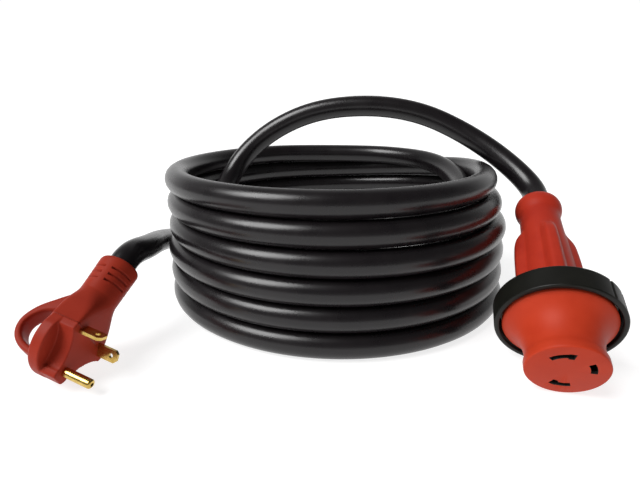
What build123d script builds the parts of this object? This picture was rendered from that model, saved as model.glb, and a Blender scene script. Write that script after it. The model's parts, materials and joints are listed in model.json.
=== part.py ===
"""A 30 A power cord set for a caravan, lying as it is stored.

An angled three-pin plug with a finger loop, a coiled cord, and a twist-lock
connector whose threaded locking ring slides and spins on the body. The set
stands on the plane Z = 0. The origin is on that plane, midway between the two
ends, +X runs from the plug to the connector and +Y runs back to the coil.
Everything is in millimetres.
"""

from build123d import *
import os
from math import cos, pi, radians, sin, tan

os.makedirs("parts", exist_ok=True)

# ---------------------------------------------------------------- dimensions
# Cord
CORD_R = 9.0
CONDUCTOR_R = 2.4
BUNDLE_R = 2.85
COIL_X, COIL_Y = 11.992, 113.085
TURN_RADII = [125.0, 127.5, 130.0, 131.0, 131.0, 132.0]
TURN_STEP = 2 * CORD_R

# Plug: its own X is across the face, Y runs towards the cord, Z out of the face
PLUG_SPOT = (-147.2, -148.4, 23.0)
PLUG_ACROSS = (-0.033, 0.534, -0.845)
PLUG_OUT = (0.922, -0.310, -0.232)
BLOCK_H = 10.5
FLANGE_BACK = 18.5
FLANGE_R, FLANGE_Y = 22.0, -7.5
LOBE_HALF, LOBE_Y = 5.4, -29.0
SHOULDER_HALF, SHOULDER_Y, SHOULDER_END = 20.7, -5.0, 16.0
PIN_Y = -22.8
PIN_R = 2.8
PIN_LENGTH = 18.6
SHANK_R = 2.3
RECESS_R, RECESS_DEPTH = 3.2, 0.6
BLADE_X, BLADE_Y = 12.5, -1.0
BLADE_W, BLADE_T, BLADE_LENGTH = 8.0, 1.8, 14.0
BLADE_TILT = 45.0
TANG_DEPTH = 11.0
CARRIER_TOP, CARRIER_H = -3.0, 6.0
CRIMP_Z = -14.0
BOOT_TILT = 7.0
BOOT_R, BOOT_END_R = 12.4, 13.2
BOOT_BASE_Y, BOOT_BASE_Z = 8.0, -14.0
BOOT_END = 41.4
BOOT_BORE = 22.0

# Connector: its own Z runs from the mating face back to the cord
CONNECTOR_SPOT = (120.0, -177.0, 19.91)
CONNECTOR_TURN = 14.7
CONNECTOR_RISE = 24.0
NOSE_R, NECK_R = 21.5, 20.4
FLARE_R, FLARE_FRONT, FLARE_REAR = 31.0, 30.8, 34.2
BARREL_R, BARREL_END = 20.2, 48.0
STOP_R = 22.0
GRIP_LENGTH = 148.0
SLOT_CIRCLE = 13.0
SLOT_W = 2.6
# place on the face in degrees, arc in degrees, hook: 1 at the far end, -1 at the near end, 0 none
SLOTS = {"ground": (-112.0, 54.0, 1), "line": (-20.0, 36.0, 0), "neutral": (92.0, 44.0, 1)}
BUNDLE_ANGLES = {"ground": -130.0, "line": -10.0, "neutral": 110.0}
RUNNING_GAP = 0.1

# Locking ring
RING_R, RING_BORE = 35.5, 32.5
RING_FRONT, RING_BACK = 29.6, 45.0
RING_LIP = 2.2
WASHER_FRONT, WASHER_T = 41.3, 1.2

# Crimps, ferrules and the fit of what is moulded in
CRIMP_R, CRIMP_LENGTH, STRAND_R = 3.0, 8.0, 1.7
FERRULE_R, FERRULE_LENGTH, FERRULE_AT = 10.4, 8.0, 27.0
FIT_GAP = 0.05
LOOP_WIDTH = 12.0

# Connector's inside
SPIGOT_R, SPIGOT_END, RETAINER_BACK = 17.6, 46.0, 49.0
POCKET_FRONT, LEAF_FRONT, CONTACT_BACK = 6.0, 8.0, 31.0
POCKET_ARC, POCKET_W = 62.0, 4.2
JACKET_END = 120.5
WING_T, WING_END = 10.0, 111.0
NOTCH_PAIRS, NOTCH_SPREAD = (-41.0, 139.0), 20.0


def from_coil(*points):
    """Points given from the coil's axis, in the set's own frame."""
    return [(COIL_X + x, COIL_Y + y, z) for x, y, z in points]


# -------------------------------------------------------------------- planes
PLUG = Plane(origin=from_coil(PLUG_SPOT)[0], x_dir=PLUG_ACROSS, z_dir=PLUG_OUT)
PLUG_SIDE = Plane(origin=PLUG.origin, x_dir=PLUG.y_dir, z_dir=PLUG.x_dir)
boot_dir = PLUG.y_dir * cos(radians(BOOT_TILT)) - PLUG.z_dir * sin(radians(BOOT_TILT))
boot_base = PLUG.origin + PLUG.y_dir * BOOT_BASE_Y + PLUG.z_dir * BOOT_BASE_Z
BOOT = Plane(origin=boot_base, x_dir=PLUG.x_dir, z_dir=boot_dir)
shoulder_base = PLUG.origin + PLUG.y_dir * SHOULDER_Y - PLUG.z_dir * FLANGE_BACK / 2
SHOULDER = Plane(origin=shoulder_base, x_dir=PLUG.x_dir, z_dir=PLUG.y_dir)

turn, rise = radians(CONNECTOR_TURN), radians(CONNECTOR_RISE)
connector_back = Vector(sin(turn) * cos(rise), cos(turn) * cos(rise), sin(rise))
CONNECTOR = Plane(
    origin=from_coil(CONNECTOR_SPOT)[0],
    x_dir=(cos(turn), -sin(turn), 0),
    z_dir=connector_back,
)
# Half section of the connector: X is the radius, Y runs back along its axis
SECTION = Plane(origin=CONNECTOR.origin, x_dir=CONNECTOR.x_dir, z_dir=-CONNECTOR.y_dir)
CONNECTOR_AXIS = Axis(CONNECTOR.origin, CONNECTOR.z_dir)


def corner_radii(points, limit=1e9):
    """An arc as large as the two runs beside each corner allow."""
    spots = [Vector(*point) for point in points]
    radii = []
    for before, corner, after in zip(spots, spots[1:], spots[2:]):
        arriving, leaving = corner - before, after - corner
        half_turn = radians(arriving.get_angle(leaving)) / 2
        run = min(arriving.length, leaving.length)
        radii.append(min(limit, 0.45 * run / tan(half_turn)))
    return radii


def plug_point(x, y, z):
    return tuple(PLUG.from_local_coords(Vector(x, y, z)))


def boot_point(distance):
    return tuple(BOOT.from_local_coords(Vector(0, 0, distance)))


def connector_point(x, y, z):
    return tuple(CONNECTOR.from_local_coords(Vector(x, y, z)))


def on_circle(radius, angle):
    return radius * cos(radians(angle)), radius * sin(radians(angle))


# ------------------------------------------------------------ the plug's pins
blade_spots = {
    "line": (-BLADE_X, BLADE_Y, BLADE_TILT),
    "neutral": (BLADE_X, BLADE_Y, -BLADE_TILT),
}
blades = {}
for side, (x, y, tilt) in blade_spots.items():
    with BuildPart() as blade:
        with BuildSketch(PLUG.offset(-TANG_DEPTH)):
            with Locations(Location((x, y, 0), tilt)):
                Rectangle(BLADE_W, BLADE_T)
        extrude(amount=TANG_DEPTH + BLADE_LENGTH)
        tip_corners = blade.edges().group_by(Axis(PLUG.origin, PLUG.z_dir))[-1].sort_by(SortBy.LENGTH)[:2]
        chamfer(tip_corners, 1.8)
        hole_plane = Plane(
            origin=plug_point(x, y, BLADE_LENGTH - 4.5),
            x_dir=PLUG.z_dir,
            z_dir=PLUG.x_dir * -sin(radians(tilt)) + PLUG.y_dir * cos(radians(tilt)),
        )
        with BuildSketch(hole_plane):
            Circle(1.5)
        extrude(amount=BLADE_T, both=True, mode=Mode.SUBTRACT)
    blade.part.label = f"{side}_blade"
    export_step(blade.part, f"parts/{side}_blade.step")
    blades[side] = blade.part

with BuildPart() as ground_pin:
    with BuildSketch(PLUG):
        with Locations((0, PIN_Y)):
            Circle(PIN_R)
    extrude(amount=PIN_LENGTH)
    # A thinner shank inside the plug, so that the moulding locks the pin in
    with BuildSketch(PLUG.offset(-TANG_DEPTH)):
        with Locations((0, PIN_Y)):
            Circle(SHANK_R)
    extrude(amount=TANG_DEPTH)
    pin_tip = ground_pin.edges().group_by(Axis(PLUG.origin, PLUG.z_dir))[-1]
    fillet(pin_tip, 1.4)
    # The tip is hollow, as a drawn pin is
    with BuildSketch(PLUG.offset(PIN_LENGTH)):
        with Locations((0, PIN_Y)):
            Circle(1.1)
    extrude(amount=-7, mode=Mode.SUBTRACT)
ground_pin.part.label = "ground_pin"
export_step(ground_pin.part, "parts/ground_pin.step")

with BuildPart() as pin_carrier:
    with BuildSketch(PLUG.offset(CARRIER_TOP - CARRIER_H)):
        with BuildLine():
            Polyline(
                (-14.5, 5),
                (14.5, 5),
                (16.8, -4),
                (8.5, -9.5),
                (4, -15),
                (4, -27),
                (-4, -27),
                (-4, -15),
                (-8.5, -9.5),
                (-16.8, -4),
                close=True,
            )
        make_face()
    extrude(amount=CARRIER_H)
    carrier_uprights = pin_carrier.edges().filter_by(Axis((0, 0, 0), PLUG_OUT))
    fillet(carrier_uprights, 0.8)
    for piece in (*blades.values(), ground_pin.part):
        add(piece, mode=Mode.SUBTRACT)
pin_carrier.part.label = "pin_carrier"
export_step(pin_carrier.part, "parts/pin_carrier.step")

# ------------------------------------- crimps and conductors inside the plug
# Each crimp lies under its pin, along the plug's Y
crimp_starts = {"line": (-BLADE_X, -5.0), "neutral": (BLADE_X, -5.0), "ground": (0.0, -23.0)}
plug_bundle = {"line": 210.0, "neutral": 330.0, "ground": 90.0}
plug_inside = [*blades.values(), ground_pin.part, pin_carrier.part]
for name, (x, y) in crimp_starts.items():
    crimp_plane = Plane(origin=plug_point(x, y, CRIMP_Z), x_dir=PLUG.x_dir, z_dir=PLUG.y_dir)
    with BuildPart() as crimp:
        with BuildSketch(crimp_plane):
            Circle(CRIMP_R)
        extrude(amount=CRIMP_LENGTH)
        with BuildSketch(crimp_plane.offset(CRIMP_LENGTH)):
            Circle(STRAND_R)
        extrude(amount=1 - CRIMP_LENGTH, mode=Mode.SUBTRACT)
    crimp.part.label = f"plug_{name}_crimp"
    export_step(crimp.part, f"parts/plug_{name}_crimp.step")

    bundle_x, bundle_y = on_circle(BUNDLE_R, plug_bundle[name])
    crimp_end = y + CRIMP_LENGTH
    wire_route = [
        plug_point(x, crimp_end, CRIMP_Z),
        plug_point(x, crimp_end + 5, CRIMP_Z),
        tuple(BOOT.from_local_coords(Vector(bundle_x, bundle_y, 14))),
        tuple(BOOT.from_local_coords(Vector(bundle_x, bundle_y, BOOT_BORE))),
    ]
    with BuildPart() as conductor:
        with BuildLine() as wire_path:
            FilletPolyline(*wire_route, radius=corner_radii(wire_route, 8))
        with BuildSketch(Plane(origin=wire_path.line @ 0, z_dir=wire_path.line % 0)):
            Circle(CONDUCTOR_R)
        sweep()
    conductor.part.label = f"plug_{name}_conductor"
    export_step(conductor.part, f"parts/plug_{name}_conductor.step")
    # The moulding fills the crimps, so it's cut by their outsides only
    with BuildPart() as crimp_outside:
        with BuildSketch(crimp_plane):
            Circle(CRIMP_R)
        extrude(amount=CRIMP_LENGTH)
    plug_inside += [crimp_outside.part, conductor.part]

with BuildPart() as plug_ferrule:
    with BuildSketch(BOOT.offset(FERRULE_AT)):
        Circle(FERRULE_R)
        Circle(CORD_R + FIT_GAP, mode=Mode.SUBTRACT)
    extrude(amount=FERRULE_LENGTH)
plug_ferrule.part.label = "plug_ferrule"
export_step(plug_ferrule.part, "parts/plug_ferrule.step")

# ------------------------------------------------------ the plug's moulding
with BuildPart() as plug_body:
    # Rear flange, round at the far end
    with BuildSketch(PLUG.offset(-FLANGE_BACK)):
        with BuildLine():
            ThreePointArc((-FLANGE_R, FLANGE_Y), (0, FLANGE_Y - FLANGE_R), (FLANGE_R, FLANGE_Y))
            Polyline((FLANGE_R, FLANGE_Y), (20.7, -3), (-20.7, -3), (-FLANGE_R, FLANGE_Y))
        make_face()
    extrude(amount=FLANGE_BACK - BLOCK_H)
    # Front block: its sides are scooped out to give the fingers a hold
    with BuildSketch(PLUG.offset(-BLOCK_H)):
        with BuildLine():
            for side in (-1, 1):
                Line((side * 20.6, -3), (side * SHOULDER_HALF, -5.1))
                Spline(
                    (side * SHOULDER_HALF, -5.1),
                    (side * 11.6, -12.3),
                    (side * 7.5, -19.0),
                    (side * LOBE_HALF, -25),
                    tangents=((-side, -0.3), (0, -1)),
                )
                Line((side * LOBE_HALF, -25), (side * LOBE_HALF, LOBE_Y))
            Line((20.6, -3), (-20.6, -3))
            Line((LOBE_HALF, LOBE_Y), (-LOBE_HALF, LOBE_Y))
        make_face()
    extrude(amount=BLOCK_H)
    # The shoulder runs from the block's full width into the round boot
    with BuildSketch(SHOULDER):
        RectangleRounded(2 * SHOULDER_HALF, FLANGE_BACK, 0.8)
    with BuildSketch(BOOT.offset(SHOULDER_END)):
        RectangleRounded(2 * BOOT_R, 2 * BOOT_R, BOOT_R - 0.4)
    loft()
    with BuildSketch(BOOT.offset(SHOULDER_END)):
        Circle(BOOT_R)
    with BuildSketch(BOOT.offset(BOOT_END)):
        Circle(BOOT_END_R)
    loft()
    # Finger loop behind the flange
    with BuildSketch(PLUG_SIDE.offset(-LOOP_WIDTH / 2)):
        with BuildLine():
            Spline((25, -22), (14, -33), (3, -42.5), (-6, -45), (-13, -43.5), (-20, -37), (-23.5, -17))
            Line((-23.5, -17), (25, -22))
        make_face()
        with BuildLine():
            Spline((5.5, -18.5), (3, -32), (-2, -39), (-8, -40.5), (-14, -38), (-18, -31), (-19.5, -18.5))
            Line((-19.5, -18.5), (5.5, -18.5))
        make_face(mode=Mode.SUBTRACT)
    extrude(amount=LOOP_WIDTH)
    # Room for what is moulded in
    for piece in plug_inside:
        add(piece, mode=Mode.SUBTRACT)
    with BuildSketch(BOOT.offset(BOOT_BORE)):
        Circle(CORD_R + FIT_GAP)
    extrude(amount=BOOT_END - BOOT_BORE + 1, mode=Mode.SUBTRACT)
    add(plug_ferrule.part, mode=Mode.SUBTRACT)
    # A shallow recess round the foot of the ground pin
    with BuildSketch(PLUG):
        with Locations((0, PIN_Y)):
            Circle(RECESS_R)
    extrude(amount=-RECESS_DEPTH, mode=Mode.SUBTRACT)
plug_body.part.label = "plug_body"
export_step(plug_body.part, "parts/plug_body.step")

# ------------------------------------------------ the connector's front parts
nose_back_r = NOSE_R - (NOSE_R - NECK_R) * (POCKET_FRONT - 5) / 4
with BuildPart() as contact_face:
    with BuildSketch(SECTION):
        with BuildLine():
            Polyline(
                (0, 0),
                (NOSE_R - 1, 0),
                (NOSE_R, 1),
                (NOSE_R, 5),
                (nose_back_r, POCKET_FRONT),
                (0, POCKET_FRONT),
                (0, 0),
            )
        make_face()
    revolve(axis=CONNECTOR_AXIS)
    for angle, arc, hook in SLOTS.values():
        with BuildSketch(CONNECTOR):
            with BuildLine():
                for radius in (SLOT_CIRCLE - SLOT_W / 2, SLOT_CIRCLE + SLOT_W / 2):
                    CenterArc((0, 0), radius, angle - arc / 2, arc)
                for end in (angle - arc / 2, angle + arc / 2):
                    Line(on_circle(SLOT_CIRCLE - SLOT_W / 2, end), on_circle(SLOT_CIRCLE + SLOT_W / 2, end))
            make_face()
        extrude(amount=POCKET_FRONT, mode=Mode.SUBTRACT)
        if hook:
            # The blade's hooked end points at the middle of the face
            end = angle + hook * (arc / 2 - 6)
            with BuildSketch(CONNECTOR):
                with Locations(on_circle(SLOT_CIRCLE - 2.2, end)):
                    Rectangle(4.4, 3.0, rotation=end)
            extrude(amount=POCKET_FRONT, mode=Mode.SUBTRACT)
contact_face.part.label = "contact_face"
export_step(contact_face.part, "parts/contact_face.step")

# The nose's outside flares out to the rim that the ring comes up to
with BuildPart() as nose_cover:
    with BuildSketch(SECTION):
        with BuildLine():
            Polyline((SPIGOT_R, POCKET_FRONT), (nose_back_r, POCKET_FRONT), (NECK_R, 9))
            Spline(
                (NECK_R, 9),
                (23.5, 21.5),
                (FLARE_R - 0.6, FLARE_FRONT - 0.3),
                tangents=((0, 1), (1, 0.25)),
            )
            Polyline(
                (FLARE_R - 0.6, FLARE_FRONT - 0.3),
                (FLARE_R, FLARE_FRONT + 0.4),
                (FLARE_R, FLARE_REAR),
                (SPIGOT_R, FLARE_REAR),
                (SPIGOT_R, POCKET_FRONT),
            )
        make_face()
    revolve(axis=CONNECTOR_AXIS)
nose_cover.part.label = "nose_cover"
export_step(nose_cover.part, "parts/nose_cover.step")

with BuildPart() as contact_block:
    with BuildSketch(CONNECTOR.offset(POCKET_FRONT)):
        Circle(SPIGOT_R)
    extrude(amount=SPIGOT_END - POCKET_FRONT)
    # A pocket behind each slot holds its contact and, at the back, its crimp
    for angle, arc, hook in SLOTS.values():
        with BuildSketch(CONNECTOR.offset(POCKET_FRONT)):
            with BuildLine():
                for radius in (SLOT_CIRCLE - POCKET_W / 2, SLOT_CIRCLE + POCKET_W / 2):
                    CenterArc((0, 0), radius, angle - POCKET_ARC / 2, POCKET_ARC)
                for end in (angle - POCKET_ARC / 2, angle + POCKET_ARC / 2):
                    Line(on_circle(SLOT_CIRCLE - POCKET_W / 2, end), on_circle(SLOT_CIRCLE + POCKET_W / 2, end))
            make_face()
        extrude(amount=SPIGOT_END - POCKET_FRONT, mode=Mode.SUBTRACT)
        with BuildSketch(CONNECTOR.offset(SPIGOT_END)):
            with Locations(on_circle(SLOT_CIRCLE, angle)):
                Circle(CRIMP_R + 0.2)
        extrude(amount=CONTACT_BACK - SPIGOT_END, mode=Mode.SUBTRACT)
contact_block.part.label = "contact_block"
export_step(contact_block.part, "parts/contact_block.step")

# ------------------------------------ contacts, crimps and their conductors
connector_conductors = []
for name, (angle, arc, hook) in SLOTS.items():
    with BuildPart() as contact:
        # Two sprung leaves, joined at the back
        leaf_half_arc = 22.0
        for inner_r, outer_r, depth, length in (
            (11.1, 11.8, LEAF_FRONT, CONTACT_BACK - LEAF_FRONT),
            (14.2, 14.9, LEAF_FRONT, CONTACT_BACK - LEAF_FRONT),
            (11.1, 14.9, CONTACT_BACK - 1, 1),
        ):
            with BuildSketch(CONNECTOR.offset(depth)):
                with BuildLine():
                    for radius in (inner_r, outer_r):
                        CenterArc((0, 0), radius, angle - leaf_half_arc, 2 * leaf_half_arc)
                    for end in (angle - leaf_half_arc, angle + leaf_half_arc):
                        Line(on_circle(inner_r, end), on_circle(outer_r, end))
                make_face()
            extrude(amount=length)
    contact.part.label = f"{name}_contact"
    export_step(contact.part, f"parts/{name}_contact.step")

    barrel_x, barrel_y = on_circle(SLOT_CIRCLE, angle)
    with BuildPart() as barrel:
        with BuildSketch(CONNECTOR.offset(CONTACT_BACK)):
            with Locations((barrel_x, barrel_y)):
                Circle(CRIMP_R)
        extrude(amount=CRIMP_LENGTH)
        with BuildSketch(CONNECTOR.offset(CONTACT_BACK + CRIMP_LENGTH)):
            with Locations((barrel_x, barrel_y)):
                Circle(STRAND_R)
        extrude(amount=1 - CRIMP_LENGTH, mode=Mode.SUBTRACT)
    barrel.part.label = f"connector_{name}_crimp"
    export_step(barrel.part, f"parts/connector_{name}_crimp.step")

    bundle_x, bundle_y = on_circle(BUNDLE_R, BUNDLE_ANGLES[name])
    wire_start = CONTACT_BACK + CRIMP_LENGTH
    wire_route = [
        connector_point(barrel_x, barrel_y, wire_start),
        connector_point(barrel_x, barrel_y, RETAINER_BACK + 5),
        connector_point(bundle_x, bundle_y, JACKET_END - 15),
        connector_point(bundle_x, bundle_y, JACKET_END),
    ]
    with BuildPart() as conductor:
        with BuildLine() as wire_path:
            FilletPolyline(*wire_route, radius=corner_radii(wire_route, 12))
        with BuildSketch(Plane(origin=wire_path.line @ 0, z_dir=wire_path.line % 0)):
            Circle(CONDUCTOR_R)
        sweep()
    conductor.part.label = f"connector_{name}_conductor"
    export_step(conductor.part, f"parts/connector_{name}_conductor.step")
    connector_conductors.append(conductor.part)

with BuildPart() as contact_retainer:
    with BuildSketch(CONNECTOR.offset(SPIGOT_END)):
        Circle(SPIGOT_R)
        for angle, arc, hook in SLOTS.values():
            with Locations(on_circle(SLOT_CIRCLE, angle)):
                Circle(CONDUCTOR_R + FIT_GAP, mode=Mode.SUBTRACT)
    extrude(amount=RETAINER_BACK - SPIGOT_END)
contact_retainer.part.label = "contact_retainer"
export_step(contact_retainer.part, "parts/contact_retainer.step")

with BuildPart() as connector_ferrule:
    with BuildSketch(CONNECTOR.offset(JACKET_END + 4)):
        Circle(FERRULE_R)
        Circle(CORD_R + FIT_GAP, mode=Mode.SUBTRACT)
    extrude(amount=FERRULE_LENGTH)
connector_ferrule.part.label = "connector_ferrule"
export_step(connector_ferrule.part, "parts/connector_ferrule.step")

# ------------------------------------------------------ the connector's grip
with BuildPart() as connector_grip:
    with BuildSketch(SECTION):
        with BuildLine():
            Polyline(
                (0, FLARE_REAR),
                (BARREL_R, FLARE_REAR),
                (BARREL_R, RING_BACK + 0.3),
                (STOP_R, RING_BACK + 0.3),
                (STOP_R, BARREL_END),
                (17.0, BARREL_END + 2),
            )
            Spline((17.0, BARREL_END + 2), (15.2, 90), (13.6, 126), tangents=((-0.03, 1), (-0.03, 1)))
            Polyline((13.6, 126), (13.8, 132), (15.4, 135.5), (15.8, 139), (15.6, 144), (14.2, GRIP_LENGTH))
            Polyline((14.2, GRIP_LENGTH), (0, GRIP_LENGTH), (0, FLARE_REAR))
        make_face()
    revolve(axis=CONNECTOR_AXIS)
    # Four rounded wings to turn the connector by
    for quarter in range(4):
        across, down = on_circle(1, 90 * quarter)
        outward = CONNECTOR.x_dir * across + CONNECTOR.y_dir * down
        wing_plane = Plane(
            origin=CONNECTOR.origin, x_dir=outward, z_dir=outward.cross(CONNECTOR.z_dir)
        )
        with BuildSketch(wing_plane):
            with BuildLine():
                Polyline((10, BARREL_END), (20.3, BARREL_END), (19.6, 95))
                Spline((19.6, 95), (17.2, 106), (13.0, WING_END), tangents=((-0.05, 1), (-1, 0.35)))
                Polyline((13.0, WING_END), (10, WING_END), (10, BARREL_END))
            make_face()
        extrude(amount=WING_T / 2, both=True)
    # Hollow for the contact block, the retainer and the conductors
    with BuildSketch(SECTION):
        with BuildLine():
            Polyline(
                (0, FLARE_REAR),
                (SPIGOT_R, FLARE_REAR),
                (SPIGOT_R, RETAINER_BACK),
                (15.4, RETAINER_BACK),
                (15.2, RETAINER_BACK + 8),
                (CORD_R + FIT_GAP, JACKET_END - 18),
                (CORD_R + FIT_GAP, JACKET_END + 4),
                (FERRULE_R, JACKET_END + 4),
                (FERRULE_R, JACKET_END + 4 + FERRULE_LENGTH),
                (CORD_R + FIT_GAP, JACKET_END + 4 + FERRULE_LENGTH),
                (CORD_R + FIT_GAP, GRIP_LENGTH),
                (0, GRIP_LENGTH),
                (0, FLARE_REAR),
            )
        make_face()
    revolve(axis=CONNECTOR_AXIS, mode=Mode.SUBTRACT)
connector_grip.part.label = "connector_grip"
export_step(connector_grip.part, "parts/connector_grip.step")

# ------------------------------------------- the locking ring and its washer
with BuildPart() as slip_washer:
    with BuildSketch(CONNECTOR.offset(WASHER_FRONT)):
        Circle(RING_BORE - 0.6)
        Circle(BARREL_R + RUNNING_GAP, mode=Mode.SUBTRACT)
    extrude(amount=WASHER_T)
slip_washer.part.label = "slip_washer"
export_step(slip_washer.part, "parts/slip_washer.step")

with BuildPart() as locking_ring:
    lip_front = RING_BACK - RING_LIP
    with BuildSketch(SECTION):
        with BuildLine():
            Polyline(
                (RING_BORE + 1.2, RING_FRONT),
                (RING_R - 1.2, RING_FRONT),
                (RING_R, RING_FRONT + 1.2),
                (RING_R, RING_BACK - 1.5),
                (RING_R - 1.5, RING_BACK),
                (BARREL_R + RUNNING_GAP, RING_BACK),
                (BARREL_R + RUNNING_GAP, lip_front),
                (RING_BORE, lip_front),
                (RING_BORE, RING_FRONT + 1.2),
                (RING_BORE + 1.2, RING_FRONT),
            )
        make_face()
    revolve(axis=CONNECTOR_AXIS)
    # Pairs of notches for the fingers
    with BuildSketch(CONNECTOR.offset(RING_FRONT + 1.2)):
        for middle in NOTCH_PAIRS:
            for angle in (middle - NOTCH_SPREAD / 2, middle + NOTCH_SPREAD / 2):
                with Locations(Location((*on_circle(RING_R, angle), 0), angle)):
                    Rectangle(2.4, 2.6)
    extrude(amount=RING_BACK - RING_FRONT, mode=Mode.SUBTRACT)
locking_ring.part.label = "locking_ring"
export_step(locking_ring.part, "parts/locking_ring.step")

# ------------------------------------------------------------------ the cord
# The coil: turns one on another, a little wider towards the floor
with BuildPart() as cord_coil:
    coil_section = Plane(origin=(COIL_X, COIL_Y, 0), x_dir=(1, 0, 0), z_dir=(0, -1, 0))
    levels = [CORD_R + TURN_STEP * level for level in reversed(range(len(TURN_RADII)))]
    with BuildSketch(coil_section):
        for radius, level in zip(TURN_RADII, levels):
            with Locations((radius, level)):
                Circle(CORD_R)
        for (radius, level), (next_radius, next_level) in zip(
            zip(TURN_RADII, levels), zip(TURN_RADII[1:], levels[1:])
        ):
            with Locations(((radius + next_radius) / 2, (level + next_level) / 2)):
                Rectangle(CORD_R, CORD_R)
    revolve(axis=Axis((COIL_X, COIL_Y, 0), (0, 0, 1)))
cord_coil.part.label = "cord_coil"
export_step(cord_coil.part, "parts/cord_coil.step")


def print_route(name, route, radii, solid):
    length = sum((Vector(*b) - Vector(*a)).length for a, b in zip(route, route[1:]))
    print(name, "radii", [round(radius) for radius in radii])
    print(name, "runs", [round((Vector(*b) - Vector(*a)).length) for a, b in zip(route, route[1:])])
    print(name, "runs added up", round(length), "solid over section", round(solid.volume / (pi * CORD_R**2)))


# From the connector over the coil and down inside it, round to the top turn
arch_route = [
    connector_point(0, 0, JACKET_END),
    connector_point(0, 0, GRIP_LENGTH + 22),
] + from_coil(
    (141, -1, 110),
    (112, 20, 130),
    (76, 29, 146),
    (34, 36, 152),
    (-14, 42, 148),
    (-53, 44, 132),
    (-83, 44, 108),
    (-98, 27, 83),
    (-101, -10, 69),
    (-86, -50, 64),
    (-51, -86, 65),
    (0, -103, 70),
    (50, -91, 75),
    (86, -61, 80),
    (105, -20, 86),
    (108, 24, 93),
)
# From the bottom turn round the back of the coil and forward to the plug
lead_route = [
    boot_point(BOOT_BORE),
    boot_point(BOOT_END + 13),
] + from_coil(
    (-142, -64, 52),
    (-146.5, -33, 46),
    (-149.5, 0, 38),
    (-153.5, 38, 27.5),
    (-145.5, 76, 16.5),
    (-119, 110, 9.5),
    (-76, 134, 9),
    (-30, 149, 9),
    (18, 151, 9),
    (64, 137, 9),
    (104, 107, 9),
    (126, 70, 9),
)
for name, route in (("cord_arch", arch_route), ("cord_lead", lead_route)):
    radii = corner_radii(route)
    with BuildPart() as cord:
        with BuildLine() as path:
            FilletPolyline(*route, radius=radii)
        with BuildSketch(Plane(origin=path.line @ 0, z_dir=path.line % 0)):
            Circle(CORD_R)
        sweep()
    cord.part.label = name
    export_step(cord.part, f"parts/{name}.step")
    print_route(name, route, radii, cord.part)
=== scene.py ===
"""The looks of a caravan power cord set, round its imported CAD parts.

The camera and the cord's route are in metres. The plug and the connector are
in millimetres in their own axes, which PLUG, BOOT and CONNECTOR turn into
metres in the frame of the CAD.
"""

import json
import math

import bmesh
import bpy
from mathutils import Matrix, Vector


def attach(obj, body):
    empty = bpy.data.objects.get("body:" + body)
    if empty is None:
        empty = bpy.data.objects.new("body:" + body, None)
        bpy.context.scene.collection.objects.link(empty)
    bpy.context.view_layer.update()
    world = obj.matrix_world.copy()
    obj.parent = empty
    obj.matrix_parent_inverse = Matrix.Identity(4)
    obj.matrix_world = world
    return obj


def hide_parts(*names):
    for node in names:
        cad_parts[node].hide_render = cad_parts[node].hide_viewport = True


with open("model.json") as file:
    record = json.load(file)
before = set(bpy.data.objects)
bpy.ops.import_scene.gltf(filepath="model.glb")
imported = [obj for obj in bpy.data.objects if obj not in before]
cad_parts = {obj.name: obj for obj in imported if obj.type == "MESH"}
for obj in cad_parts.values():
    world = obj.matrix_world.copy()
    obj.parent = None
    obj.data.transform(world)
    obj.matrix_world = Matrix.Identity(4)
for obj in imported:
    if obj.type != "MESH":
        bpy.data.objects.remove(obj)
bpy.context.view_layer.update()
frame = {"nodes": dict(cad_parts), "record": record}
nodes = frame["nodes"]

MM = 0.001

# ---------------------------------------------------------------- dimensions
# The cord and its coil, whose turns are listed from the top
COIL = Vector((0.011992, 0.113085, 0))
CORD_R = 0.009
TURN_RADII = [0.125, 0.1275, 0.130, 0.131, 0.131, 0.132]
TURN_SHIFTS = [-0.004, -0.001, 0.0015, 0.0005, 0.001, 0.002]
POINTS_A_TURN = 20
FIRST_COIL_POINT = 6
# Degrees in which a turn steps down to the next, and how gently it starts to
STEP_ARC, STEP_EASE = 100, 1.6
# The cord's points inside its two ends, as distances along the axes of CONNECTOR and BOOT
CONNECTOR_CORD = (120.5, 145, 170)
BOOT_CORD = (54.4, 38, 22)

# Plug: its own X is across the face, Y runs towards the cord, Z out of the face
PLUG_SPOT = (-0.1472, -0.1484, 0.0230)
PLUG_ACROSS = (-0.033, 0.534, -0.845)
PLUG_OUT = (0.922, -0.310, -0.232)
PLUG_HALF = 20.7
BLOCK_DEPTH = 11
FLANGE_R, FLANGE_Y = 22, -7.5
# The shoulder's start and its round end in the boot: half its depth, and the middle in Y and Z
SHOULDER_HALF_Z, SHOULDER_Y, SHOULDER_Z = 9.25, -5, -9.25
BOOT_R, BOOT_Y, BOOT_Z = 12.4, 24, -16.05
BOOT_BASE = (0, 8, -14)
BOOT_TILT = math.radians(7)
STRAP_HALF_WIDTH = 6.0
GROOVE_PLACES, GROOVE_MIDDLES = (24, 28.4, 33), (51, 141, 231, 321)
GROOVE_R, GROOVE_HALF_DEPTH, GROOVE_HALF_ARC, GROOVE_HALF_WIDTH = 12.8, 2.0, 36, 0.85

# Connector: its own Z runs from the mating face back to the cord
CONNECTOR_SPOT = (0.120, -0.177, 0.01991)
CONNECTOR_TURN, CONNECTOR_RISE = math.radians(14.7), math.radians(24)
SIDES = 180
WINGS, WING_FRONT, WING_BACK = 4, 48.5, 112
# At this radius a wing is full height up to its top's half width, and ends at its foot's
WING_AT, WING_TOP, WING_FOOT = 18, 1.6, 7.6
FACE_T = 2.2
SLOT_R = 13
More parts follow.
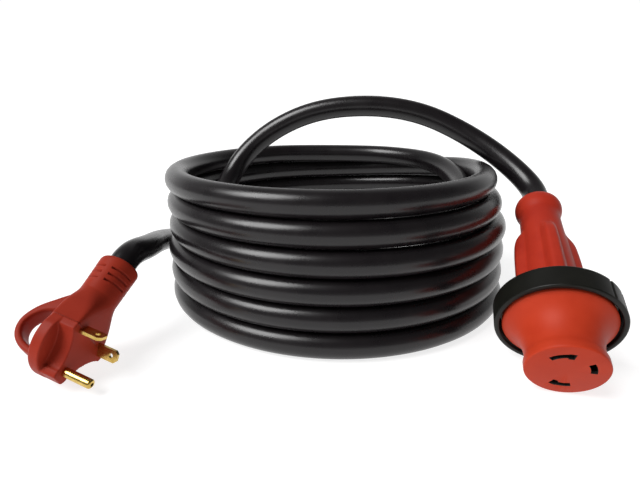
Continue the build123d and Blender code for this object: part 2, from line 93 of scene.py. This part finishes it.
# Middle, arc, half the width, and whether one end has a hook
SLOTS = {"ground": (-112, 54, 1.5, True), "line": (-20, 36, 1.7, False), "neutral": (92, 44, 1.5, True)}
POCKET_HALF_WIDTH, POCKET_HALF_ARC, POCKET_END = 2.1, 31, 30.5
HOOK_R, HOOK_HALF_WIDTH, HOOK_HALF_ARC, HOOK_INSET = 12.6, 2.2, 8, 6
CUTTER_START, CUTTER_SPARE = -1, 0.5

# Locking ring
RING_SIDES = 360
RING_R, RING_BORE = 35.5, 32.5
NOTCH_PAIRS, NOTCH_SPREAD, NOTCH_DEPTH = (-41, 139), 10, 1.3
# Degrees from a notch's middle to the ends of its floor and of its mouth
NOTCH_FLOOR, NOTCH_MOUTH = 1.2, 2.1
THREAD_PITCH, THREAD_DEPTH = 3.0, 1.1

# Edges: where shading breaks, the width of a bevel, and the grain of the plug's moulding, in metres
SHARP_ANGLE = math.radians(40)
BEVEL_WIDTH = 0.0003
VOXEL = 0.00045

# Camera, from the coil's axis, and the side that the sun shines from
CAMERA_SPOT = (-0.0124, -0.3886, 0.1617)
CAMERA_DOWN = 17.82
SUN_FROM = (-0.75, -0.35, 1.0)


def own_axes(origin, across, out):
    """The matrix from a piece's own millimetres to the frame, Z along out."""
    z = Vector(out).normalized()
    y = z.cross(Vector(across)).normalized()
    x = y.cross(z)
    turned = Matrix((x, y, z)).transposed().to_4x4()
    return Matrix.Translation(origin) @ turned @ Matrix.Scale(MM, 4)


PLUG = own_axes(COIL + Vector(PLUG_SPOT), PLUG_ACROSS, PLUG_OUT)
BOOT = PLUG @ Matrix.Translation(BOOT_BASE) @ Matrix.Rotation(math.radians(-90) - BOOT_TILT, 4, "X")
# How far the connector's axis runs along the floor for each unit of its length
level_run = math.cos(CONNECTOR_RISE)
CONNECTOR = own_axes(
    COIL + Vector(CONNECTOR_SPOT),
    (math.cos(CONNECTOR_TURN), -math.sin(CONNECTOR_TURN), 0),
    (math.sin(CONNECTOR_TURN) * level_run, math.cos(CONNECTOR_TURN) * level_run, math.sin(CONNECTOR_RISE)),
)

# -------------------------------------------------------------------- camera
lens = bpy.data.cameras.new("camera")
lens.lens = 25.68
lens.sensor_width = 36
lens.clip_start = 0.01
camera = bpy.data.objects.new("camera", lens)
camera.location = COIL + Vector(CAMERA_SPOT)
camera.rotation_euler = (math.radians(90 - CAMERA_DOWN), 0, 0)
bpy.context.collection.objects.link(camera)
bpy.context.scene.camera = camera

# ---------------------------------------------------------------------- cord
# From the connector over the coil and down inside it, round to the top turn
ARCH = [
    (0.141, -0.001, 0.110),
    (0.112, 0.020, 0.130),
    (0.076, 0.029, 0.146),
    (0.034, 0.036, 0.152),
    (-0.014, 0.042, 0.148),
    (-0.053, 0.044, 0.132),
    (-0.083, 0.044, 0.108),
    (-0.098, 0.027, 0.083),
    (-0.101, -0.010, 0.069),
    (-0.086, -0.050, 0.064),
    (-0.051, -0.086, 0.065),
    (0.000, -0.103, 0.070),
    (0.050, -0.091, 0.075),
    (0.086, -0.061, 0.080),
    (0.105, -0.020, 0.086),
    (0.108, 0.024, 0.093),
    (0.098, 0.062, 0.098),
    (0.076, 0.092, 0.099),
    (0.040, 0.116, 0.099),
]
# From the bottom turn round the back of the coil and forward to the plug
LEAD = [
    (0.135, 0.014, 0.009),
    (0.131, 0.060, 0.009),
    (0.104, 0.107, 0.009),
    (0.064, 0.137, 0.009),
    (0.018, 0.151, 0.009),
    (-0.030, 0.149, 0.009),
    (-0.076, 0.134, 0.009),
    (-0.119, 0.110, 0.0095),
    (-0.1455, 0.076, 0.0165),
    (-0.1535, 0.038, 0.0275),
    (-0.1495, 0.000, 0.038),
    (-0.1465, -0.033, 0.046),
    (-0.142, -0.064, 0.052),
]


def between(values, level):
    """The value at a level that counts from the first, between two of them if it isn't whole."""
    low = min(int(level), len(values) - 2)
    return values[low] + (values[low + 1] - values[low]) * (level - low)


def coil_point(angle):
    """A point of the coil, angle degrees on from the right end of the top turn."""
    whole, part = divmod(angle, 360)
    # Each turn is level round the front and steps down one at the right and back
    step = min(part / STEP_ARC, 1)
    level = max(whole - 1 + step**STEP_EASE * (STEP_EASE + 1 - STEP_EASE * step), 0)
    # The smooth line runs inside its points, which are that much further out
    radius = between(TURN_RADII, level) / math.cos(math.pi / POINTS_A_TURN)
    height = CORD_R * (1 + 2 * (len(TURN_RADII) - 1 - level))
    a = math.radians(angle)
    return radius * math.cos(a) + between(TURN_SHIFTS, level), radius * math.sin(a), height


coil_end = len(TURN_RADII) * POINTS_A_TURN
coil = [coil_point(360 / POINTS_A_TURN * i) for i in range(FIRST_COIL_POINT, coil_end)]
route = [CONNECTOR @ Vector((0, 0, z)) for z in CONNECTOR_CORD]
route += [COIL + Vector(point) for point in ARCH + coil + LEAD]
route += [BOOT @ Vector((0, 0, z)) for z in BOOT_CORD]

line = bpy.data.curves.new("cord", "CURVE")
line.dimensions = "3D"
spline = line.splines.new("NURBS")
spline.points.add(len(route) - 1)
for point, place in zip(spline.points, route):
    point.co = (*place, 1)
    # The thickness is in the points, so that the curve's own box is true
    point.radius = CORD_R
spline.order_u = 3
spline.use_endpoint_u = True
spline.resolution_u = 8
line.bevel_depth = 1
line.bevel_resolution = 8
line.use_fill_caps = True
cord = bpy.data.objects.new("cord", line)
bpy.context.collection.objects.link(cord)
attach(cord, "cord_set")
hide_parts("cord_arch", "cord_coil", "cord_lead")


# ----------------------------------------------------------------- materials
GLOSS_SPREAD = 0.06
RELIEF_STRENGTH, RELIEF_DEPTH = 0.15, 0.0002


def material(name, colour, other, roughness, metallic=0.0, mottle=60, grain=1500, shine=0.5):
    """Two colours mixed by a soft noise, a mottled gloss and a fine grain in relief."""
    made = bpy.data.materials.new(name)
    made.use_nodes = True
    tree = made.node_tree
    shader = tree.nodes["Principled BSDF"]
    shader.inputs["Metallic"].default_value = metallic
    shader.inputs["Specular IOR Level"].default_value = shine
    place = tree.nodes.new("ShaderNodeTexCoord")
    soft = tree.nodes.new("ShaderNodeTexNoise")
    soft.inputs["Scale"].default_value = mottle
    soft.inputs["Detail"].default_value = 3
    tree.links.new(place.outputs["Object"], soft.inputs["Vector"])
    colours = tree.nodes.new("ShaderNodeValToRGB")
    colours.color_ramp.elements[0].position = 0.3
    colours.color_ramp.elements[0].color = (*colour, 1)
    colours.color_ramp.elements[1].position = 0.7
    colours.color_ramp.elements[1].color = (*other, 1)
    tree.links.new(soft.outputs["Fac"], colours.inputs["Fac"])
    tree.links.new(colours.outputs["Color"], shader.inputs["Base Color"])
    gloss = tree.nodes.new("ShaderNodeMapRange")
    gloss.inputs["To Min"].default_value = roughness - GLOSS_SPREAD
    gloss.inputs["To Max"].default_value = roughness + GLOSS_SPREAD
    tree.links.new(soft.outputs["Fac"], gloss.inputs["Value"])
    tree.links.new(gloss.outputs["Result"], shader.inputs["Roughness"])
    fine = tree.nodes.new("ShaderNodeTexNoise")
    fine.inputs["Scale"].default_value = grain
    tree.links.new(place.outputs["Object"], fine.inputs["Vector"])
    relief = tree.nodes.new("ShaderNodeBump")
    relief.inputs["Strength"].default_value = RELIEF_STRENGTH
    relief.inputs["Distance"].default_value = RELIEF_DEPTH
    tree.links.new(fine.outputs["Fac"], relief.inputs["Height"])
    tree.links.new(relief.outputs["Normal"], shader.inputs["Normal"])
    return made


LOOKS = {
    "red_vinyl": material("red_vinyl", (0.36, 0.024, 0.012), (0.42, 0.032, 0.015), 0.46, shine=0.12),
    # The plug's vinyl is the same as red_vinyl, made a shade deeper as painted shade for the dimmer light
    # that falls on the plug
    "shaded_plug_vinyl": material("shaded_plug_vinyl", (0.29, 0.026, 0.013), (0.34, 0.033, 0.016), 0.46, shine=0.08),
    "red_moulding": material("red_moulding", (0.42, 0.034, 0.012), (0.47, 0.042, 0.015), 0.46, shine=0.12),
    "cord_jacket": material("cord_jacket", (0.007, 0.0055, 0.0065), (0.011, 0.009, 0.010), 0.28, shine=0.42),
    "black_plastic": material("black_plastic", (0.005, 0.005, 0.004), (0.008, 0.008, 0.006), 0.42, shine=0.2),
    "washer_plastic": material("washer_plastic", (0.60, 0.58, 0.52), (0.68, 0.66, 0.60), 0.5),
    "inner_plastic": material("inner_plastic", (0.020, 0.022, 0.020), (0.030, 0.032, 0.030), 0.6),
    "ferrule_steel": material("ferrule_steel", (0.50, 0.50, 0.50), (0.58, 0.57, 0.55), 0.35, 1.0),
    "tinned_crimp": material("tinned_crimp", (0.58, 0.56, 0.52), (0.66, 0.63, 0.58), 0.3, 1.0),
    "line_insulation": material("line_insulation", (0.015, 0.015, 0.015), (0.02, 0.02, 0.02), 0.45),
    "neutral_insulation": material("neutral_insulation", (0.70, 0.70, 0.67), (0.76, 0.75, 0.71), 0.45),
    "ground_insulation": material("ground_insulation", (0.02, 0.20, 0.05), (0.03, 0.26, 0.07), 0.45),
    "blade_brass": material("blade_brass", (0.50, 0.34, 0.08), (0.70, 0.50, 0.16), 0.24, 1.0, 220, 2500),
    "contact_brass": material("contact_brass", (0.60, 0.42, 0.14), (0.72, 0.54, 0.22), 0.3, 1.0),
}
line.materials.append(LOOKS["cord_jacket"])
for part in frame["record"]["subparts"]:
    mesh = nodes[part["node"]].data
    mesh.materials.clear()
    mesh.materials.append(LOOKS[part["material_slot"]])


# -------------------------------------------------------------------- helpers
def smooth_step(low, high, value):
    """Rises from 0 at low to 1 at high, level at both ends."""
    t = min(max((value - low) / (high - low), 0), 1)
    return t * t * (3 - 2 * t)


def through(knots, value):
    """The height at value of a smooth line through (place, height) knots."""
    for i in range(len(knots) - 2):
        if value <= knots[i + 1][0]:
            break
    (x0, y0), (x1, y1) = knots[i], knots[i + 1]
    before = knots[max(i - 1, 0)]
    after = knots[min(i + 2, len(knots) - 1)]
    span = x1 - x0
    slope0 = (y1 - before[1]) / (x1 - before[0])
    slope1 = (after[1] - y0) / (after[0] - x0)
    t = (value - x0) / span
    return (
        y0 * (1 + 2 * t) * (1 - t) ** 2
        + y1 * t * t * (3 - 2 * t)
        + span * (slope0 * t * (1 - t) ** 2 - slope1 * t * t * (1 - t))
    )


def spread(start, end, count):
    """Evenly spaced values from start to end, both included."""
    return [start + (end - start) * i / (count - 1) for i in range(count)]


def around(count):
    """Evenly spaced angles round a whole turn."""
    return spread(0, 360 - 360 / count, count)


def polar(radius, angle, z):
    """A point at an angle about the Z axis."""
    return radius * math.cos(math.radians(angle)), radius * math.sin(math.radians(angle)), z


def build(name, verts, faces, axes):
    """A mesh object from points in the millimetres of axes."""
    mesh = bpy.data.meshes.new(name)
    mesh.from_pydata([axes @ Vector(v) for v in verts], [], faces)
    work = bmesh.new()
    work.from_mesh(mesh)
    bmesh.ops.recalc_face_normals(work, faces=work.faces)
    work.to_mesh(mesh)
    work.free()
    mesh.shade_smooth()
    made = bpy.data.objects.new(name, mesh)
    bpy.context.collection.objects.link(made)
    return made


def loft(rings, loop=False):
    """Points and faces of a skin over rings of as many points each, with closed ends or joined in a loop."""
    verts = [point for ring in rings for point in ring]
    count = len(rings[0])
    faces = []
    for i in range(len(rings) if loop else len(rings) - 1):
        a, b = i * count, (i + 1) % len(rings) * count
        for j in range(count):
            k = (j + 1) % count
            faces.append((a + j, a + k, b + k, b + j))
    if not loop:
        faces.append(tuple(range(count)))
        last = (len(rings) - 1) * count
        faces.append(tuple(range(last + count - 1, last - 1, -1)))
    return verts, faces


def prism(outline, low, high):
    """Points and faces of an outline in X and Y between two heights."""
    return loft([[(x, y, z) for x, y in outline] for z in (low, high)])


def apply(obj, kind, **settings):
    """Adds a modifier and takes its result into the mesh."""
    modifier = obj.modifiers.new(kind.lower(), kind)
    for key, value in settings.items():
        setattr(modifier, key, value)
    bpy.context.view_layer.update()
    result = bpy.data.meshes.new_from_object(obj.evaluated_get(bpy.context.evaluated_depsgraph_get()))
    obj.modifiers.clear()
    old = obj.data
    obj.data = result
    bpy.data.meshes.remove(old)


def cut(obj, cutters):
    """Takes the cutters out of obj."""
    for cutter in cutters:
        apply(obj, "BOOLEAN", object=cutter, operation="DIFFERENCE", solver="EXACT")
        bpy.data.objects.remove(cutter)


def dress(obj, body, looks, *stands_for):
    """Gives a piece its body, hides the CAD nodes it stands for, and gives it a material if it has none."""
    if not obj.data.materials:
        obj.data.materials.append(LOOKS[looks])
    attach(obj, body)
    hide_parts(*stands_for)


def arc_points(centre, radius, start, end, count):
    """Points round a circle, angles in degrees."""
    return [
        (centre[0] + radius * math.cos(math.radians(a)), centre[1] + radius * math.sin(math.radians(a)))
        for a in spread(start, end, count)
    ]


def slot_outline(radius, half_width, angle, half_arc):
    """A curved slot round the Z axis."""
    outer = arc_points((0, 0), radius + half_width, angle - half_arc, angle + half_arc, 14)
    inner = arc_points((0, 0), radius - half_width, angle + half_arc, angle - half_arc, 14)
    return outer + inner


# ---------------------------------------------------- connector: the grip
# Outlines are (place along the axis, radius)
CORE = [
    (34.2, 20.2), (45.2, 20.2), (45.4, 21.6), (46.0, 22.0), (47.4, 22.0), (48.4, 21.0), (49.6, 17.8),
    (52.0, 16.9), (70.0, 16.0), (90.0, 15.2), (110.0, 14.2), (126.0, 13.7), (130.5, 14.0), (133.5, 14.9),
    (136.0, 15.7), (139.0, 16.1), (142.0, 15.9), (145.0, 14.8), (147.0, 12.9), (148.0, 10.4),
]
WING = [
    (WING_FRONT, 20.0), (50.0, 20.6), (60.0, 20.7), (80.0, 20.4), (94.0, 19.8), (101.0, 18.9), (106.0, 17.0),
    (109.5, 15.0), (WING_BACK, 13.8),
]
# From the mouth round the cord to the open front end
GRIP_INSIDE = [(147.6, 9.6), (146.5, 9.15), (110, 9.15), (57, 15.2), (49, 17.6), (34.2, 17.6)]


def grip_radius(angle, z):
    """Radius outside: a round core with four wings."""
    core = through(CORE, z)
    if not WING_FRONT < z < WING_BACK:
        return core
    apart = 360 / WINGS
    across = WING_AT * math.sin(math.radians(abs((angle + apart / 2) % apart - apart / 2)))
    share = 1 - smooth_step(WING_TOP, WING_FOOT, across)
    return core + max(through(WING, z) - core, 0) * share


# Rings lie closest together where the outline turns most
grip_places = spread(34.2, 44.8, 5) + spread(45.2, 50, 16) + spread(50.8, 130, 80)
grip_places += spread(131, 147.2, 24) + [147.6, 147.9, 148.0]
grip_rings = [[polar(grip_radius(a, z), a, z) for a in around(SIDES)] for z in grip_places]
grip_rings += [[polar(radius, a, z) for a in around(SIDES)] for z, radius in GRIP_INSIDE]
grip = build("grip", *loft(grip_rings, loop=True), CONNECTOR)
dress(grip, "cord_set", "red_vinyl", "connector_grip")

# ---------------------------------------- connector: the face, nose and block
BLOCK = [
    (0.0, 1.0), (0.0, 20.6), (0.15, 21.1), (0.6, 21.45), (1.2, 21.5), (4.4, 21.5), (5.4, 21.25), (7.0, 20.7),
    (9.0, 20.45), (12.0, 20.6), (15.0, 21.0), (18.0, 21.8), (21.0, 22.9), (24.0, 24.7), (26.5, 26.7),
    (28.5, 28.7), (29.9, 30.2), (30.5, 30.7), (31.2, 31.0), (33.6, 31.0), (34.1, 30.6), (34.2, 30.0),
    (34.2, 17.6), (46.0, 17.6), (46.0, 1.0),
]
BLOCK_LOOKS = ("red_moulding", "inner_plastic")
block_rings = [[polar(radius, a, z) for a in around(SIDES)] for z, radius in BLOCK]
block = build("front_block", *loft(block_rings), CONNECTOR)
for look in BLOCK_LOOKS:
    block.data.materials.append(LOOKS[look])
cutters = []
for middle, arc, half_width, hooked in SLOTS.values():
    # The slot goes through the face, into a wider pocket behind it
    slot = slot_outline(SLOT_R, half_width, middle, arc / 2)
    pocket = slot_outline(SLOT_R, POCKET_HALF_WIDTH, middle, POCKET_HALF_ARC)
    slot_end = FACE_T + CUTTER_SPARE
    openings = [(slot, CUTTER_START, slot_end), (pocket, FACE_T, POCKET_END)]
    if hooked:
        hook = slot_outline(HOOK_R, HOOK_HALF_WIDTH, middle + arc / 2 - HOOK_INSET, HOOK_HALF_ARC)
        openings.append((hook, CUTTER_START, slot_end))
    for outline, low, high in openings:
        opening = build("opening", *prism(outline, low, high), CONNECTOR)
        for look in BLOCK_LOOKS:
            opening.data.materials.append(LOOKS[look])
        # The walls that it leaves have the block's second, darker look: in the pockets that is the inner
        # plastic of the contact block, and on the slot walls through the red face it is painted shade for the
        # dark inside of the slots
        for wall in opening.data.polygons:
            wall.material_index = 1
        cutters.append(opening)
cut(block, cutters)
apply(block, "BEVEL", width=BEVEL_WIDTH, segments=2, limit_method="ANGLE", angle_limit=math.radians(50))
block.data.set_sharp_from_angle(angle=SHARP_ANGLE)
dress(block, "cord_set", "red_moulding", "contact_face", "contact_block", "nose_cover")


# -------------------------------------------- connector: the locking ring
def ring_outside(angle, z):
    """Radius outside, with pairs of narrow notches for the fingers."""
    deepest = 0
    for middle in NOTCH_PAIRS:
        for notch in (middle - NOTCH_SPREAD, middle + NOTCH_SPREAD):
            off = abs((angle - notch + 180) % 360 - 180)
            deepest = max(deepest, 1 - smooth_step(NOTCH_FLOOR, NOTCH_MOUTH, off))
    return RING_R - NOTCH_DEPTH * deepest * smooth_step(30.6, 31.2, z)


def thread(angle, z):
    """Radius of the inside, a helical thread."""
    wave = abs(((z / THREAD_PITCH + angle / 360) % 1) * 2 - 1)
    share = smooth_step(30.2, 31.2, z) * (1 - smooth_step(41.6, 42.6, z))
    return RING_BORE + THREAD_DEPTH * share * smooth_step(0.25, 0.75, wave)


# The rounded outer edges, as (place along the axis, change of radius)
RING_FRONT_EDGE = [(29.6, -1.1), (29.75, -0.55), (30.1, -0.15), (30.6, 0.0)]
RING_BACK_EDGE = [(44.5, -0.2), (44.85, -0.6), (45.0, -1.2)]
# The lip that turns on the barrel, and the mouth in front of the thread, as (place, radius)
RING_LIP = [(45.0, 22.0), (44.8, 20.6), (44.4, 20.3), (42.9, 20.3), (42.8, 32.0)]
RING_MOUTH = [(29.8, 32.7), (29.6, 33.0)]
rim = RING_FRONT_EDGE + [(z, 0.0) for z in spread(30.7, 44.0, 22)] + RING_BACK_EDGE
ring_rings = [[polar(ring_outside(a, z) + change, a, z) for a in around(RING_SIDES)] for z, change in rim]
ring_rings += [[polar(radius, a, z) for a in around(RING_SIDES)] for z, radius in RING_LIP]
ring_rings += [[polar(thread(a, z), a, z) for a in around(RING_SIDES)] for z in spread(42.6, 30.2, 42)]
ring_rings += [[polar(radius, a, z) for a in around(RING_SIDES)] for z, radius in RING_MOUTH]
ring = build("threaded_ring", *loft(ring_rings, loop=True), CONNECTOR)
ring.data.set_sharp_from_angle(angle=SHARP_ANGLE)
dress(ring, "ring", "black_plastic", "locking_ring")


# ------------------------------------------------------ plug: the front block
def oval(half_x, half_y, power, count=64):
    """Points of a rounded box in X and Y: a power of 2 is an ellipse, a high one nearly a box."""
    points = []
    for a in spread(0, 2 * math.pi * (1 - 1 / count), count):
        c, s = math.cos(a), math.sin(a)
        x = half_x * math.copysign(abs(c) ** (2 / power), c)
        y = half_y * math.copysign(abs(s) ** (2 / power), s)
        points.append((x, y))
    return points


def along_curve(points, at):
    """The place on a smooth line through points, where at counts from the first."""
    return Vector([through([(k, p[n]) for k, p in enumerate(points)], at) for n in range(len(points[0]))])


# The sides are scooped out to give the fingers a hold
SCOOP = [(20.5, -5.4), (16.0, -8.0), (11.6, -12.3), (8.9, -16.2), (7.3, -19.6), (5.9, -23.0), (5.4, -26.0)]
half_face = [(20.6, -1.0), (PLUG_HALF, -4.9)] + [tuple(along_curve(SCOOP, k / 3)) for k in range(19)]
half_face += [(5.1, -28.2), (4.2, -29.0)]
face = half_face + [(-x, y) for x, y in reversed(half_face)]
block_part = build("block_part", *prism(face, -BLOCK_DEPTH, 0), PLUG)

# ----------------------------------------------------- plug: the rear flange
# Its edge, as (how far inside the full outline, Z)
FLANGE = [(3.0, -18.5), (1.2, -18.3), (0.35, -17.6), (0.0, -16.6), (0.0, -11.0), (0.3, -10.5)]
flange_rings = []
for inset, z in FLANGE:
    half, bow = PLUG_HALF - inset, arc_points((0, FLANGE_Y), FLANGE_R - inset, 0, -180, 61)
    flange_rings.append([(half, -1, z)] + [(x, y, z) for x, y in bow] + [(-half, -1, z)])
flange_part = build("flange_part", *loft(flange_rings), PLUG)

# -------------------------------------------- plug: the shoulder and the boot
# The shoulder runs from the block's full width into the round boot
boot_rings = []
for t in spread(0, 1, 12):
    half_x, half_z = between((PLUG_HALF, BOOT_R), t), between((SHOULDER_HALF_Z, BOOT_R), t)
    y, z = between((SHOULDER_Y, BOOT_Y), t), between((SHOULDER_Z, BOOT_Z), t)
    # From nearly a box to a circle
    power = 22 * (1 - t) ** 2.2 + 2
    boot_rings.append([PLUG @ Vector((x, y, z + v)) for x, v in oval(half_x, half_z, power)])
# The boot, as (place along its own axis, radius)
BOOT_OUTLINE = [(20, 12.45), (30, 12.8), (39.6, 13.2), (40.8, 12.9), (41.4, 12.2), (41.5, 10.4)]
for at, radius in BOOT_OUTLINE:
    boot_rings.append([BOOT @ Vector((x, -y, at)) for x, y in oval(radius, radius, 2)])
boot_part = build("boot_part", *loft(boot_rings), Matrix.Identity(4))

# ----------------------------------------------------- plug: the finger loop
# Pairs of points of the strap's outer and inner faces, as (outer Y, outer Z, inner Y, inner Z)
STRAP = [
    (26.0, -20.0, 9.0, -14.0), (19.0, -29.0, 6.5, -21.5), (12.0, -35.2, 4.6, -28.5), (3.0, -42.0, 1.2, -35.6),
    (-6.0, -44.8, -5.6, -40.0), (-13.0, -43.4, -11.2, -39.4), (-18.5, -39.0, -15.6, -35.8),
    (-22.2, -32.0, -18.2, -30.2), (-23.5, -24.0, -19.4, -23.6), (-23.6, -15.0, -19.6, -15.0),
]
loop_rings = []
for at in spread(0, len(STRAP) - 1, 55):
    outer_y, outer_z, inner_y, inner_z = along_curve(STRAP, at)
    outer, inner = Vector((outer_y, outer_z)), Vector((inner_y, inner_z))
    middle, half = (outer + inner) / 2, (outer - inner) / 2
    loop_rings.append([(u, *(middle + half * v)) for u, v in oval(STRAP_HALF_WIDTH, 1.0, 4, 40)])
loop_part = build("loop_part", *loft(loop_rings), PLUG)


# ------------------------------------------------------ plug: the one moulding
def join(objects):
    """Joins the objects into the first of them."""
    first = objects[0]
    with bpy.context.temp_override(active_object=first, selected_editable_objects=objects, object=first):
        bpy.ops.object.join()
    return first


shell = join([block_part, flange_part, boot_part, loop_part])
shell.name = "plug_shell"
apply(shell, "REMESH", mode="VOXEL", voxel_size=VOXEL, use_smooth_shade=True)
apply(shell, "SMOOTH", factor=0.5, iterations=4)
# Rows of short grooves are cut round the boot; on the real plug they let it bend
grooves = []
for at in GROOVE_PLACES:
    for middle in GROOVE_MIDDLES:
        outline = slot_outline(GROOVE_R, GROOVE_HALF_DEPTH, middle, GROOVE_HALF_ARC)
        grooves.append(build("groove", *prism(outline, at - GROOVE_HALF_WIDTH, at + GROOVE_HALF_WIDTH), BOOT))
cut(shell, [join(grooves)])
# The whole plug takes the darker copy of the red vinyl, which is a painted shade
shell.data.materials.append(LOOKS["shaded_plug_vinyl"])
dress(shell, "cord_set", "red_vinyl", "plug_body")

# ------------------------------------------------- plug: the blades and pin
for name in ("line_blade", "neutral_blade", "ground_pin"):
    softer = nodes[name].modifiers.new("edges", "BEVEL")
    softer.width = BEVEL_WIDTH
    softer.segments = 2
    softer.limit_method = "ANGLE"

# ------------------------------------------------------------ floor and light
FLOOR_HALF = 30
floor_corners = [(x * FLOOR_HALF, y * FLOOR_HALF, 0) for x, y in ((-1, -1), (1, -1), (1, 1), (-1, 1))]
floor_mesh = bpy.data.meshes.new("floor")
floor_mesh.from_pydata(floor_corners, [], [(0, 1, 2, 3)])
floor = bpy.data.objects.new("floor", floor_mesh)
bpy.context.collection.objects.link(floor)
floor_look = material("floor", (0.34, 0.34, 0.34), (0.36, 0.36, 0.36), 0.6)
# A floor lit from below, as a light table, so that shadows stay faint
glow = floor_look.node_tree.nodes["Principled BSDF"]
glow.inputs["Emission Color"].default_value = (1, 1, 1, 1)
glow.inputs["Emission Strength"].default_value = 0.8
floor_mesh.materials.append(floor_look)

# A studio that's brighter behind the object, and a broad soft lamp overhead
world = bpy.data.worlds.new("studio")
world.use_nodes = True
sky = world.node_tree
direction = sky.nodes.new("ShaderNodeTexCoord")
parts = sky.nodes.new("ShaderNodeSeparateXYZ")
sky.links.new(direction.outputs["Generated"], parts.inputs["Vector"])
brightness = sky.nodes.new("ShaderNodeMath")
brightness.operation = "MULTIPLY"
# Axis of the direction, its range, and the brightness at each end of that range
SKY_RAMPS = (("Y", 0.25, 0.75, 0.2, 1.02), ("Z", 0.22, 0.5, 1.0, 0.4))
for place, (axis, start, end, low, high) in enumerate(SKY_RAMPS):
    ramp = sky.nodes.new("ShaderNodeMapRange")
    for name, value in (("From Min", start), ("From Max", end), ("To Min", low), ("To Max", high)):
        ramp.inputs[name].default_value = value
    sky.links.new(parts.outputs[axis], ramp.inputs["Value"])
    sky.links.new(ramp.outputs["Result"], brightness.inputs[place])
sky.nodes["Background"].inputs["Color"].default_value = (1, 1, 1, 1)
sky.links.new(brightness.outputs["Value"], sky.nodes["Background"].inputs["Strength"])
bpy.context.scene.world = world

lamp = bpy.data.lights.new("lamp", "SUN")
lamp.energy = 3.3
lamp.angle = math.radians(35)
sun = bpy.data.objects.new("lamp", lamp)
sun.rotation_euler = Vector(SUN_FROM).to_track_quat("Z", "Y").to_euler()
bpy.context.collection.objects.link(sun)
bpy.context.scene.view_settings.view_transform = "Standard"

bpy.context.view_layer.update()
